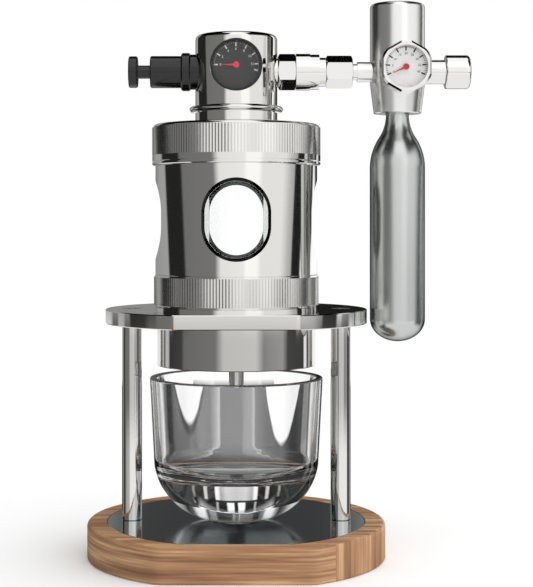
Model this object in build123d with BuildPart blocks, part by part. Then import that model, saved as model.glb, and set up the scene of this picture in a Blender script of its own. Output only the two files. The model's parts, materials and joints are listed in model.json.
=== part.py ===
"""Manual espresso maker driven by a gas cartridge, in millimetres.

The origin is on the brew axis at the underside of the wooden base, +Z is up and the user
stands on the -Y side. Turned pieces on the brew axis are revolved about Z, the relief valve
and the gas line lie along X, and both gauges face -Y.
"""
import os
from math import cos, hypot, pi, radians, sin, sqrt

from build123d import *

# Clearances
fit_gap = 0.05
running_gap = 0.3
joint_gap = 0.1

# Wooden base and the steel plate let into it
base_overhang = 7.2
base_flat = 7.6
base_thickness = 14.0
base_corner = 8.0
base_edge = 1.6
base_under_edge = 0.8
inlay_margin = 7.9
inlay_front_margin = 4.1
inlay_corner = 8.0
inlay_thickness = 3.0
plate_edge = 0.3

# Posts and their screws
post_diameter = 8.0
post_gap = 3.2
post_margin = 10.4
screw_radius = 2.0
screw_reach = 11.0
base_head_radius = 4.2
base_head_height = 3.0
base_head_recess = 1.5
sink_radius = 3.9
sink_depth = 1.9
socket_across = 2.6
socket_depth = 1.6

# Upper plate
plate_flat = 5.6
plate_hole_gap = 0.15
plate_corner = 6.0
plate_thickness = 5.5

# Serving glass
glass_rim_radius = 34.5
glass_height = 57.0
glass_taper = 1.8
glass_headroom = 4.8
glass_waist_height = 22.0
glass_foot_radius = 9.0
glass_foot_height = 0.4
glass_bowl_bulge = 5.6
glass_wall = 2.8
glass_rim_edge = 0.6
glass_floor = 18.3
glass_inner_corner = 7.0

# Basket holder, spout and filter basket
holder_radius = 31.6
holder_drop = 16.9
holder_floor = 3.0
funnel_rise = 1.5
flange_ledge = 1.0
flange_height = 1.0
thread_step = 1.6
holder_neck = 7.5
holder_wall = 4.8
basket_wall = 0.8
basket_depth = 21.0
basket_lip = 1.5
basket_rim = 1.2
gasket_height = 1.2
screen_thickness = 1.0
hole_radius = 0.8
hole_rings = 2
hole_pitch = 9.0
spout_radius = 3.0
spout_bore = 2.0
spout_drop = 9.0

# Barrel with its four sight windows
barrel_step = 0.7
barrel_height = 43.0
barrel_wall = 3.0
foot_flange_height = 2.4
foot_neck_step = 1.4
foot_neck_height = 2.9
foot_ledge = 1.9
shoulder_height = 2.0
window_foot = 6.9
window_head = 6.7
window_straight = 5.2
window_edge = 1.3
cap_thread_step = 1.3
cap_thread_height = 8.7
tube_wall = 2.5
seal_height = 1.5

# Knurled clamp ring and knurled cap
ring_step = 0.6
ring_rim = 0.7
ring_lip = 2.3
knurl_depth = 0.34
knurl_pitch = 1.23
cap_step = 1.3
cap_band = 1.1
cap_groove = 0.5
cap_plain = 2.3
cap_groove_depth = 0.7
cap_top = 3.4
cap_edge = 1.2

# Head block
head_radius = 16.4
head_foot_step = 2.0
head_foot_height = 3.1
head_neck = 4.9
head_collar_radius = 18.7
head_collar_height = 2.4
head_height = 28.5
head_edge = 2.0
head_bore = 4.0
head_seal_height = 1.2
port_rise = 13.9
gauge_rise = 15.3

# Brew gauge on the head
gauge_radius = 10.2
gauge_rim = 0.7
gauge_edge = 0.35
gauge_proud = 0.8
gauge_depth = 6.5
gauge_stem_radius = 3.5
gauge_stem = 4.0
dial_thickness = 0.5
dial_recess = 2.4
lens_recess = 0.2
lens_thickness = 0.8
needle_length = 6.2
needle_width = 1.0
needle_thickness = 0.3
needle_hub = 1.2
needle_lift = 0.4
pivot_radius = 0.5
pivot_reach = 2.0

# Relief valve, along -X
relief_boss_radius = 7.0
relief_boss = 3.4
relief_body_radius = 6.4
relief_body = 16.1
relief_nut_radius = 7.6
relief_nut = 3.8
relief_nut_bevel = 0.6
relief_stem_radius = 2.65
relief_stem = 5.1
relief_knob_radius = 6.3
relief_knob = 3.5
relief_knob_edge = 0.4
relief_cap = 4.0
relief_cavity_radius = 4.4
relief_floor = 1.0
relief_poppet = 2.0
relief_rod_radius = 1.6
spigot_radius = 4.4
spigot_reach = 5.0
wire_radius = 0.35
spring_turns = 5

# Gas inlet, along +X
inlet_boss_radius = 6.25
inlet_boss = 1.3
inlet_hex_across = 12.6
inlet_hex = 7.3
sleeve_radius = 7.3
sleeve_length = 5.6
sleeve_step_radius = 7.0
sleeve_step = 3.7
sleeve_neck_radius = 5.75
sleeve_neck = 2.5
nut_across = 11.4
nipple_radius = 3.15
nipple_length = 1.9
hex_bevel = 0.9
hex_back_bevel = 0.5
hex_face_inset = 0.3
inlet_root_radius = 5.45
gas_bore = 1.2
ball_radius = 2.4
ball_floor = 1.0
sleeve_spigot_radius = 4.0
sleeve_spigot = 4.0
nut_spigot = 1.5
nipple_spigot_radius = 2.2

# Regulator and its knob
regulator_radius = 10.95
regulator_rise = 27.1
regulator_cone_start = 4.7
regulator_drop = 16.7
regulator_foot_radius = 9.5
regulator_edge = 1.6
regulator_port = 5.2
regulator_port_radius = 4.0
bonnet_radius = 4.8
bonnet_length = 7.8
bonnet_wall = 1.2
bonnet_reach = 4.0
knob_radius = 6.75
knob_length = 9.8
knob_edge = 1.5
adjuster_radius = 2.0
adjuster_reach = 3.5
piston_length = 2.5
seat_thickness = 1.2
bonnet_end_wall = 2.0

# Regulator gauge with its rounded hexagonal bezel
dial_gauge_across = 19.4
dial_gauge_corner = 10.2
dial_gauge_rise = 0.2
dial_gauge_shift = 1.4
dial_gauge_standoff = 0.6
dial_gauge_depth = 9.5
dial_gauge_bore = 8.3
dial_gauge_bevel = 0.8
red_needle_angle = 206.0

# Gas cartridge and the pin that pierces it
cartridge_radius = 11.0
cartridge_gap = 1.312
cartridge_wall = 1.4
cartridge_dome = 9.0
cartridge_body = 60.4
cartridge_shoulder = 15.5
cartridge_neck_radius = 4.6
cartridge_neck_bore = 2.0
cartridge_neck = 13.0
cartridge_insert = 7.0
washer_height = 1.5
pin_radius = 1.0
pin_point_radius = 0.2
pin_length = 7.0
pin_tip = 1.5
pin_reach = 1.5

# Radii of the turned pieces on the brew axis, worked out from the basket holder
flange_radius = holder_radius + flange_ledge
thread_radius = holder_radius - thread_step
holder_bore = holder_radius - holder_wall
basket_radius = holder_bore - running_gap
basket_rim_radius = basket_radius + basket_lip
foot_radius = thread_radius - running_gap
foot_neck_radius = foot_radius - foot_neck_step
foot_bore = basket_radius - foot_ledge
screen_radius = foot_bore - fit_gap
barrel_radius = holder_radius + barrel_step
barrel_bore = barrel_radius - barrel_wall
tube_radius = barrel_bore - running_gap
tube_bore = tube_radius - tube_wall
ring_radius = barrel_radius + ring_step
ring_bore = thread_radius + running_gap
cap_radius = barrel_radius + cap_step
cap_thread_radius = barrel_radius - cap_thread_step
cap_bore = cap_thread_radius + running_gap
head_foot_radius = cap_thread_radius - head_foot_step
window_height = barrel_height - window_foot - window_head
window_width = window_height - window_straight
window_rise = window_foot + window_height / 2

# Stand, worked out from the glass that it takes and the holder that it carries
glass_waist_radius = glass_rim_radius - glass_taper
post_height = glass_height + glass_headroom + holder_drop
post_offset = max(glass_rim_radius, flange_radius) + post_gap + post_diameter / 2
plate_radius = post_offset + post_margin
plate_half_depth = plate_radius - plate_flat
plate_hole = holder_radius + plate_hole_gap
base_radius = plate_radius + base_overhang
base_half_depth = base_radius - base_flat
inlay_radius = base_radius - inlay_margin
inlay_half_depth = base_half_depth - inlay_front_margin
shank_hole = screw_radius + fit_gap

# Heights worked out from the sizes above
base_top = base_thickness
inlay_bottom = base_top - inlay_thickness
plate_bottom = base_top + post_height
plate_top = plate_bottom + plate_thickness
holder_bottom = plate_bottom - holder_drop
flange_top = plate_top + flange_height
neck_top = flange_top + holder_neck
basket_seat = neck_top - gasket_height - basket_rim
foot_top = neck_top + foot_flange_height
lip_bottom = foot_top + running_gap
ring_top = lip_bottom + ring_lip
barrel_bottom = foot_top + foot_neck_height
shoulder_top = barrel_bottom + shoulder_height
tube_bottom = shoulder_top + seal_height
barrel_top = barrel_bottom + barrel_height
thread_top = barrel_top + cap_thread_height
tube_top = thread_top - seal_height
cap_bottom = barrel_top + running_gap
head_bottom = thread_top + head_seal_height
head_foot_top = head_bottom + head_foot_height
cap_plate = head_foot_top + joint_gap
cap_height = cap_plate + cap_top
collar_bottom = cap_height + head_neck
collar_top = collar_bottom + head_collar_height
head_top = collar_top + head_height
port_height = collar_top + port_rise
gauge_height = collar_top + gauge_rise

# Places along X, worked out from the head outwards; the gas nut fills what is left
gauge_front = head_radius + gauge_proud
relief_seat = sqrt(head_radius ** 2 - relief_boss_radius ** 2)
inlet_seat = sqrt(head_radius ** 2 - inlet_boss_radius ** 2)
inlet_hex_start = inlet_seat + inlet_boss
sleeve_start = inlet_hex_start + inlet_hex
sleeve_step_start = sleeve_start + sleeve_length
sleeve_neck_start = sleeve_step_start + sleeve_step
nut_start = sleeve_neck_start + sleeve_neck
regulator_x = plate_radius + cartridge_gap + cartridge_radius
nipple_end = regulator_x - regulator_radius - regulator_port
nipple_start = nipple_end - nipple_length
nut_length = nipple_start - nut_start
bonnet_end = regulator_x + regulator_radius + bonnet_length
knob_start = bonnet_end + running_gap

# Working planes
port_plane = Plane(origin=(0, 0, port_height), x_dir=(0, 1, 0), z_dir=(1, 0, 0))
relief_plane = Plane(origin=(0, 0, port_height), x_dir=(0, -1, 0), z_dir=(-1, 0, 0))
gauge_plane = Plane(origin=(0, 0, gauge_height), x_dir=(1, 0, 0), z_dir=(0, -1, 0))
dial_gauge_height = port_height + dial_gauge_rise
dial_gauge_x = regulator_x + dial_gauge_shift
dial_gauge_plane = Plane(origin=(dial_gauge_x, 0, dial_gauge_height), x_dir=(1, 0, 0), z_dir=(0, -1, 0))
regulator_axis = Axis((regulator_x, 0, 0), (0, 0, 1))
port_axis = Axis((0, 0, port_height), (1, 0, 0))


def save(piece, label):
    """Name a finished piece and write it as its own file."""
    piece.label = label
    export_step(piece, f"parts/{label}.step")


def plan_outline(radius, half_depth, corner):
    """A round plan cut by straight flats at the front and the rear, with softened corners."""
    with BuildSketch() as outline:
        Circle(radius)
        Rectangle(2 * radius, 2 * half_depth, mode=Mode.INTERSECT)
        fillet(outline.vertices(), corner)
    return outline.sketch


def knurl_outline(radius):
    """A ring of straight V ribs as a closed outline, as many as fit round the radius."""
    ribs = int(2 * pi * radius / knurl_pitch)
    points = []
    for index in range(2 * ribs):
        angle = pi * index / ribs
        reach = radius - knurl_depth * (index % 2)
        points.append((reach * cos(angle), reach * sin(angle)))
    return points


def coil_path(plane, radius, length):
    """The centre line of a coil spring that starts on a plane, as quarter-turn arcs."""
    quarters = 4 * spring_turns
    places = []
    for half in range(2 * quarters + 1):
        angle = pi * half / 4
        rise = length * half / (2 * quarters)
        places.append(plane.from_local_coords((radius * cos(angle), radius * sin(angle), rise)))
    with BuildLine() as path:
        for quarter in range(quarters):
            ThreePointArc(*places[2 * quarter:2 * quarter + 3])
    return path


def hex_turning(start, length, across):
    """Half the turned outline of a hexagon bar on the port axis, coned back at both ends."""
    corner = across / sqrt(3) + joint_gap
    face = across / 2 - hex_face_inset
    end = start + length
    with BuildSketch() as turning:
        with BuildLine():
            Polyline(
                (start, port_height),
                (start, port_height + face),
                (start + hex_bevel, port_height + corner),
                (end - hex_back_bevel, port_height + corner),
                (end, port_height + face),
                (end, port_height),
                close=True,
            )
        make_face()
    return turning.sketch


os.makedirs("parts", exist_ok=True)
post_places = [(-post_offset, 0), (post_offset, 0)]


def hole_field():
    """Round holes in even rings about a centre hole, as one sketch."""
    with BuildSketch() as field:
        Circle(hole_radius)
        for ring in range(1, hole_rings + 1):
            with PolarLocations(ring * hole_pitch, 6 * ring):
                Circle(hole_radius)
    return field.sketch


# Wooden base: pocket for the inlay plate, and counterbored screw holes under the posts
with BuildPart() as wood_base:
    with BuildSketch():
        add(plan_outline(base_radius, base_half_depth, base_corner))
    extrude(amount=base_thickness)
    fillet(wood_base.edges().group_by(Axis.Z)[-1], base_edge)
    fillet(wood_base.edges().group_by(Axis.Z)[0], base_under_edge)
    with BuildSketch(Plane.XY.offset(inlay_bottom)):
        add(plan_outline(inlay_radius + fit_gap, inlay_half_depth + fit_gap, inlay_corner))
    extrude(amount=inlay_thickness, mode=Mode.SUBTRACT)
    with BuildSketch():
        with Locations(*post_places):
            Circle(shank_hole)
    extrude(amount=inlay_bottom, mode=Mode.SUBTRACT)
    with BuildSketch():
        with Locations(*post_places):
            Circle(base_head_radius + joint_gap)
    extrude(amount=base_head_recess + base_head_height, mode=Mode.SUBTRACT)
save(wood_base.part, "wood_base")

with BuildPart() as inlay_plate:
    with BuildSketch(Plane.XY.offset(inlay_bottom)):
        add(plan_outline(inlay_radius, inlay_half_depth, inlay_corner))
        with Locations(*post_places):
            Circle(shank_hole, mode=Mode.SUBTRACT)
    extrude(amount=inlay_thickness)
    chamfer(inlay_plate.faces().sort_by(Axis.Z)[-1].outer_wire().edges(), plate_edge)
save(inlay_plate.part, "inlay_plate")

# Posts, tapped at both ends
for label, place in zip(("left_post", "right_post"), post_places):
    with BuildPart() as post:
        with BuildSketch(Plane.XY.offset(base_top)):
            with Locations(place):
                Circle(post_diameter / 2)
        extrude(amount=post_height)
        chamfer(post.edges().filter_by(GeomType.CIRCLE), plate_edge)
        with BuildSketch(Plane.XY.offset(base_top)):
            with Locations(place):
                Circle(shank_hole)
        extrude(amount=screw_reach, mode=Mode.SUBTRACT)
        with BuildSketch(Plane.XY.offset(plate_bottom)):
            with Locations(place):
                Circle(shank_hole)
        extrude(amount=-screw_reach, mode=Mode.SUBTRACT)
    save(post.part, label)

with BuildPart() as upper_plate:
    with BuildSketch(Plane.XY.offset(plate_bottom)):
        add(plan_outline(plate_radius, plate_half_depth, plate_corner))
        Circle(plate_hole, mode=Mode.SUBTRACT)
        with Locations(*post_places):
            Circle(shank_hole, mode=Mode.SUBTRACT)
    extrude(amount=plate_thickness)
    chamfer(upper_plate.faces().sort_by(Axis.Z)[-1].outer_wire().edges(), plate_edge)
    chamfer(upper_plate.faces().sort_by(Axis.Z)[0].outer_wire().edges(), plate_edge)
    with Locations(*[(x, y, plate_top) for x, y in post_places]):
        Cone(
            shank_hole,
            sink_radius + fit_gap,
            sink_depth,
            align=(Align.CENTER, Align.CENTER, Align.MAX),
            mode=Mode.SUBTRACT,
        )
save(upper_plate.part, "upper_plate")

# Countersunk screws, flush with the upper plate, with hexagon sockets
with BuildPart() as plate_screws:
    with Locations(*[(x, y, plate_top) for x, y in post_places]):
        Cone(screw_radius, sink_radius, sink_depth, align=(Align.CENTER, Align.CENTER, Align.MAX))
    with BuildSketch(Plane.XY.offset(plate_top - sink_depth)):
        with Locations(*post_places):
            Circle(screw_radius)
    extrude(amount=-(plate_thickness - sink_depth + screw_reach - joint_gap))
    with BuildSketch(Plane.XY.offset(plate_top)):
        with Locations(*post_places):
            RegularPolygon(socket_across / 2, 6, major_radius=False)
    extrude(amount=-socket_depth, mode=Mode.SUBTRACT)
save(plate_screws.part, "plate_screws")

# Socket-head screws let into the underside of the base
with BuildPart() as base_screws:
    with BuildSketch(Plane.XY.offset(base_head_recess)):
        with Locations(*post_places):
            Circle(base_head_radius)
    extrude(amount=base_head_height)
    with BuildSketch(Plane.XY.offset(base_head_recess + base_head_height)):
        with Locations(*post_places):
            Circle(screw_radius)
    extrude(amount=base_top + screw_reach - joint_gap - base_head_recess - base_head_height)
    with BuildSketch(Plane.XY.offset(base_head_recess)):
        with Locations(*post_places):
            RegularPolygon(socket_across / 2, 6, major_radius=False)
    extrude(amount=socket_depth, mode=Mode.SUBTRACT)
save(base_screws.part, "base_screws")

# Serving glass: straight tapered wall over a heavy rounded bottom
glass_top = base_top + glass_height
glass_inside = base_top + glass_floor
glass_corner_top = glass_floor + glass_inner_corner
glass_slope = glass_taper / (glass_height - glass_waist_height)
glass_inner = glass_waist_radius + glass_slope * (glass_corner_top - glass_waist_height) - glass_wall
with BuildPart() as serving_glass:
    with BuildSketch(Plane.XZ):
        with BuildLine():
            floor_line = Line((0, base_top), (glass_foot_radius - glass_foot_height, base_top))
            foot = Line(floor_line @ 1, (glass_foot_radius, base_top + glass_foot_height))
            waist = (glass_waist_radius, base_top + glass_waist_height)
            bowl = SagittaArc(foot @ 1, waist, -glass_bowl_bulge)
            wall = Line(bowl @ 1, (glass_rim_radius, glass_top - glass_rim_edge))
            lip = RadiusArc(wall @ 1, (glass_rim_radius - glass_rim_edge, glass_top), -glass_rim_edge)
            rim = Line(lip @ 1, (glass_rim_radius - glass_wall + glass_rim_edge, glass_top))
            inner_lip = RadiusArc(
                rim @ 1,
                (glass_rim_radius - glass_wall, glass_top - glass_rim_edge),
                -glass_rim_edge,
            )
            inside = Line(inner_lip @ 1, (glass_inner, base_top + glass_corner_top))
            corner = ThreePointArc(
                inside @ 1,
                (
                    glass_inner - glass_inner_corner * (1 - sqrt(0.5)),
                    glass_inside + glass_inner_corner * (1 - sqrt(0.5)),
                ),
                (glass_inner - glass_inner_corner, glass_inside),
            )
            well = Line(corner @ 1, (0, glass_inside))
            Line(well @ 1, floor_line @ 0)
        make_face()
    revolve(axis=Axis.Z)
save(serving_glass.part, "serving_glass")

# Basket holder: drops through the upper plate, hangs on its flange, has a funnel floor
floor_top = holder_bottom + holder_floor
spout_hole = spout_radius + fit_gap
rim_bore = basket_rim_radius + joint_gap
with BuildPart() as basket_holder:
    with BuildSketch(Plane.XZ):
        with BuildLine():
            Polyline(
                (spout_hole, holder_bottom),
                (holder_radius - plate_edge, holder_bottom),
                (holder_radius, holder_bottom + plate_edge),
                (holder_radius, plate_top),
                (flange_radius, plate_top),
                (flange_radius, flange_top),
                (thread_radius, flange_top),
                (thread_radius, neck_top),
                (rim_bore, neck_top),
                (rim_bore, basket_seat),
                (holder_bore, basket_seat),
                (holder_bore, floor_top + funnel_rise),
                (spout_hole, floor_top),
                close=True,
            )
        make_face()
    revolve(axis=Axis.Z)
save(basket_holder.part, "basket_holder")

with BuildPart() as spout:
    with BuildSketch(Plane.XY.offset(holder_bottom - spout_drop)):
        Circle(spout_radius)
        Circle(spout_bore, mode=Mode.SUBTRACT)
    extrude(amount=spout_drop + holder_floor)
save(spout.part, "spout")

# Filter basket: thin cup with a perforated floor, hung by its rim
rim_top = basket_seat + basket_rim
basket_bottom = rim_top - basket_depth
with BuildPart() as filter_basket:
    with BuildSketch(Plane.XZ):
        with BuildLine():
            Polyline(
                (0, basket_bottom),
                (basket_radius, basket_bottom),
                (basket_radius, basket_seat),
                (basket_rim_radius, basket_seat),
                (basket_rim_radius, rim_top),
                (basket_radius - basket_wall, rim_top),
                (basket_radius - basket_wall, basket_bottom + basket_wall),
                (0, basket_bottom + basket_wall),
                close=True,
            )
        make_face()
    revolve(axis=Axis.Z)
    with BuildSketch(Plane.XY.offset(basket_bottom)):
        add(hole_field())
    extrude(amount=basket_wall, mode=Mode.SUBTRACT)
save(filter_basket.part, "filter_basket")

with BuildPart() as basket_gasket:
    with BuildSketch(Plane.XY.offset(rim_top)):
        Circle(basket_rim_radius)
        Circle(basket_radius - basket_wall, mode=Mode.SUBTRACT)
    extrude(amount=gasket_height)
save(basket_gasket.part, "basket_gasket")

# Barrel sleeve: flanged foot, polished wall with four oval sight windows, neck for the cap
window_height_centre = barrel_bottom + window_rise
with BuildPart() as barrel_sleeve:
    with BuildSketch(Plane.XZ):
        with BuildLine():
            Polyline(
                (foot_bore, neck_top),
                (foot_radius, neck_top),
                (foot_radius, foot_top),
                (foot_neck_radius, foot_top),
                (foot_neck_radius, barrel_bottom),
                (barrel_radius, barrel_bottom),
                (barrel_radius, barrel_top),
                (cap_thread_radius, barrel_top),
                (cap_thread_radius, thread_top),
                (barrel_bore, thread_top),
                (barrel_bore, shoulder_top),
                (foot_bore, shoulder_top),
                close=True,
            )
        make_face()
    revolve(axis=Axis.Z)
    for wall_plane in (Plane.XZ, Plane.YZ):
        with BuildSketch(wall_plane):
            with Locations((0, window_height_centre)):
                SlotOverall(window_height, window_width, rotation=90)
        extrude(amount=barrel_radius, both=True, mode=Mode.SUBTRACT)
    window_rims = barrel_sleeve.edges().filter_by(
        lambda edge: abs((edge @ 0.5).Z - window_height_centre) <= window_height / 2
        and abs(hypot((edge @ 0.5).X, (edge @ 0.5).Y) - barrel_radius) < fit_gap
    )
    chamfer(window_rims, window_edge)
save(barrel_sleeve.part, "barrel_sleeve")

# Clear tube that holds the water, between a seal at each end
with BuildPart() as chamber_tube:
    with BuildSketch(Plane.XY.offset(tube_bottom)):
        Circle(tube_radius)
        Circle(tube_bore, mode=Mode.SUBTRACT)
    extrude(amount=tube_top - tube_bottom)
save(chamber_tube.part, "chamber_tube")

for label, height in (("lower_seal", shoulder_top), ("upper_seal", tube_top)):
    with BuildPart() as tube_seal:
        with BuildSketch(Plane.XY.offset(height)):
            Circle(tube_radius)
            Circle(tube_bore, mode=Mode.SUBTRACT)
        extrude(amount=seal_height)
    save(tube_seal.part, label)

# Shower screen, in the bore of the barrel's foot
with BuildPart() as shower_screen:
    with BuildSketch(Plane.XY.offset(neck_top)):
        Circle(screen_radius)
        add(hole_field(), mode=Mode.SUBTRACT)
    extrude(amount=screen_thickness)
save(shower_screen.part, "shower_screen")

# Knurled clamp ring: its lip holds the barrel's foot down on the basket holder's neck
ring_bottom = flange_top + joint_gap
ring_core = ring_radius - knurl_depth - joint_gap
lip_bore = foot_neck_radius + running_gap
with BuildPart() as clamp_ring:
    with BuildSketch(Plane.XZ):
        with BuildLine():
            Polyline(
                (ring_bore, ring_bottom),
                (ring_core, ring_bottom),
                (ring_core, ring_top),
                (lip_bore, ring_top),
                (lip_bore, lip_bottom),
                (ring_bore, lip_bottom),
                close=True,
            )
        make_face()
    revolve(axis=Axis.Z)
    with BuildSketch(Plane.XY.offset(ring_bottom + ring_rim)):
        with BuildLine():
            Polyline(*knurl_outline(ring_radius), close=True)
        make_face()
        Circle(ring_bore, mode=Mode.SUBTRACT)
    extrude(amount=ring_top - ring_bottom - 2 * ring_rim)
save(clamp_ring.part, "clamp_ring")

# Knurled cap: a swivel nut that draws the head's foot down on the barrel
cap_core = cap_radius - knurl_depth - joint_gap
cap_hole = head_radius + running_gap
cap_band_top = cap_bottom + cap_band
cap_groove_top = cap_band_top + cap_groove
cap_knurl_bottom = cap_groove_top + cap_plain
with BuildPart() as knurled_cap:
    with BuildSketch(Plane.XZ):
        with BuildLine():
            skirt = Polyline(
                (cap_bore, cap_bottom),
                (cap_radius - plate_edge, cap_bottom),
                (cap_radius, cap_bottom + plate_edge),
                (cap_radius, cap_band_top),
                (cap_core - cap_groove_depth, cap_band_top),
                (cap_core - cap_groove_depth, cap_groove_top),
                (cap_radius, cap_groove_top),
                (cap_radius, cap_knurl_bottom),
                (cap_core, cap_knurl_bottom),
                (cap_core, cap_height - cap_edge),
            )
            shoulder = RadiusArc(skirt @ 1, (cap_core - cap_edge, cap_height), -cap_edge)
            Polyline(
                shoulder @ 1,
                (cap_hole, cap_height),
                (cap_hole, cap_plate),
                (cap_bore, cap_plate),
                skirt @ 0,
            )
        make_face()
    revolve(axis=Axis.Z)
    with BuildSketch(Plane.XY.offset(cap_knurl_bottom)):
        with BuildLine():
            Polyline(*knurl_outline(cap_radius), close=True)
        make_face()
        Circle(cap_bore, mode=Mode.SUBTRACT)
    extrude(amount=cap_height - cap_edge - cap_knurl_bottom)
save(knurled_cap.part, "knurled_cap")

# Head block: foot under the cap, neck, rounded collar, and ports for valve, gauge and gas
gauge_back = gauge_front - gauge_depth
head_passage_top = port_height + spigot_radius
with BuildPart() as head_block:
    with BuildSketch(Plane.XZ):
        with BuildLine():
            stalk = Polyline(
                (head_bore, head_bottom),
                (head_foot_radius, head_bottom),
                (head_foot_radius, head_foot_top),
                (head_radius, head_foot_top),
                (head_radius, collar_bottom),
                (head_collar_radius - head_collar_height / 2, collar_bottom),
            )
            collar = ThreePointArc(
                stalk @ 1,
                (head_collar_radius, (collar_bottom + collar_top) / 2),
                (head_collar_radius - head_collar_height / 2, collar_top),
            )
            side = Polyline(collar @ 1, (head_radius, collar_top), (head_radius, head_top - head_edge))
            crown = RadiusArc(side @ 1, (head_radius - head_edge, head_top), -head_edge)
            Polyline(
                crown @ 1,
                (0, head_top),
                (0, head_passage_top),
                (head_bore, head_passage_top),
                stalk @ 0,
            )
        make_face()
    revolve(axis=Axis.Z)
    for side_plane, seat, boss in (
        (relief_plane, relief_seat, relief_boss_radius),
        (port_plane, inlet_seat, inlet_boss_radius),
    ):
        with BuildSketch(side_plane.offset(seat)):
            Circle(boss + joint_gap)
        extrude(amount=head_radius, mode=Mode.SUBTRACT)
        with BuildSketch(side_plane):
            Circle(spigot_radius + fit_gap)
        extrude(amount=seat, mode=Mode.SUBTRACT)
    with BuildSketch(gauge_plane.offset(gauge_back)):
        Circle(gauge_radius + joint_gap)
    extrude(amount=head_radius, mode=Mode.SUBTRACT)
    with BuildSketch(gauge_plane):
        Circle(gauge_stem_radius + fit_gap)
    extrude(amount=gauge_back, mode=Mode.SUBTRACT)
save(head_block.part, "head_block")

with BuildPart() as head_seal:
    with BuildSketch(Plane.XY.offset(thread_top)):
        Circle(head_foot_radius)
        Circle(tube_bore, mode=Mode.SUBTRACT)
    extrude(amount=head_seal_height)
save(head_seal.part, "head_seal")


def gauge_movement(prefix, plane, front, bore, reach, angle):
    """Dial, needle on its pivot, and lens of a gauge, stacked back from its front."""
    dial_front = front - dial_recess
    pivot_back = dial_front - dial_thickness - pivot_reach
    with BuildPart() as dial:
        with BuildSketch(plane.offset(dial_front - dial_thickness)):
            Circle(bore - fit_gap)
            Circle(pivot_radius + fit_gap, mode=Mode.SUBTRACT)
        extrude(amount=dial_thickness)
    save(dial.part, f"{prefix}_dial")
    turn = radians(angle)
    half = needle_width / 2
    with BuildPart() as needle:
        with BuildSketch(plane.offset(pivot_back)):
            Circle(pivot_radius)
        extrude(amount=pivot_reach + dial_thickness + needle_lift)
        with BuildSketch(plane.offset(dial_front + needle_lift)):
            Circle(needle_hub)
            with BuildLine():
                Polyline(
                    (-half * sin(turn), half * cos(turn)),
                    (reach * cos(turn), reach * sin(turn)),
                    (half * sin(turn), -half * cos(turn)),
                    close=True,
                )
            make_face()
        extrude(amount=needle_thickness)
    save(needle.part, f"{prefix}_needle")
    with BuildPart() as lens:
        with BuildSketch(plane.offset(front - lens_recess - lens_thickness)):
            Circle(bore - fit_gap)
        extrude(amount=lens_thickness)
    save(lens.part, f"{prefix}_lens")


def coil_spring(label, plane, radius, length):
    """A coil spring of round wire between two faces that are a length apart."""
    inset = wire_radius + joint_gap
    path = coil_path(plane.offset(inset), radius, length - 2 * inset)
    wire = path.wire()
    with BuildPart() as spring:
        with BuildSketch(Plane(origin=wire @ 0, z_dir=wire % 0)):
            Circle(wire_radius)
        sweep(path=wire)
    save(spring.part, label)


# Brew gauge: black case with a stem into the head
dial_back = gauge_front - dial_recess - dial_thickness
with BuildPart() as gauge_case:
    with BuildSketch(gauge_plane.offset(gauge_back)):
        Circle(gauge_radius)
    extrude(amount=gauge_depth)
    fillet(gauge_case.edges().sort_by(Axis.Y)[0], gauge_edge)
    with BuildSketch(gauge_plane.offset(dial_back)):
        Circle(gauge_radius - gauge_rim)
    extrude(amount=gauge_depth, mode=Mode.SUBTRACT)
    with BuildSketch(gauge_plane.offset(gauge_back - gauge_stem)):
        Circle(gauge_stem_radius)
    extrude(amount=gauge_stem)
    with BuildSketch(gauge_plane.offset(dial_back)):
        Circle(pivot_radius + fit_gap)
    extrude(amount=-pivot_reach - joint_gap, mode=Mode.SUBTRACT)
save(gauge_case.part, "gauge_case")
gauge_movement("gauge", gauge_plane, gauge_front, gauge_radius - gauge_rim, needle_length, 180)

# Relief valve: body with a spigot into the head, lock nut, gland, spring and pull knob
relief_boss_end = relief_seat + relief_boss
relief_end = relief_boss_end + relief_body
poppet_seat = relief_boss_end + relief_floor
gland_start = relief_end - relief_cap
with BuildPart() as relief_body_part:
    with BuildSketch(relief_plane.offset(relief_seat - spigot_reach)):
        Circle(spigot_radius)
    extrude(amount=spigot_reach)
    with BuildSketch(relief_plane.offset(relief_seat)):
        Circle(relief_boss_radius)
    extrude(amount=relief_boss)
    with BuildSketch(relief_plane.offset(relief_boss_end)):
        Circle(relief_body_radius)
    extrude(amount=relief_body)
    chamfer(relief_body_part.edges().sort_by(Axis.X)[0], relief_knob_edge)
    with BuildSketch(relief_plane.offset(poppet_seat)):
        Circle(relief_cavity_radius)
    extrude(amount=relief_end - poppet_seat, mode=Mode.SUBTRACT)
    with BuildSketch(relief_plane.offset(relief_seat - spigot_reach)):
        Circle(gas_bore)
    extrude(amount=poppet_seat - relief_seat + spigot_reach, mode=Mode.SUBTRACT)
save(relief_body_part.part, "relief_body")

with BuildPart() as relief_nut_part:
    with BuildSketch(relief_plane.offset(relief_boss_end)):
        Circle(relief_nut_radius)
    extrude(amount=relief_nut)
    chamfer(relief_nut_part.edges().filter_by(GeomType.CIRCLE), relief_nut_bevel)
    with BuildSketch(relief_plane.offset(relief_boss_end)):
        Circle(relief_body_radius + fit_gap)
    extrude(amount=relief_nut, mode=Mode.SUBTRACT)
save(relief_nut_part.part, "relief_nut")

with BuildPart() as relief_gland:
    with BuildSketch(relief_plane.offset(gland_start)):
        Circle(relief_cavity_radius - fit_gap)
        Circle(relief_stem_radius + fit_gap, mode=Mode.SUBTRACT)
    extrude(amount=relief_cap)
save(relief_gland.part, "relief_gland")

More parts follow.
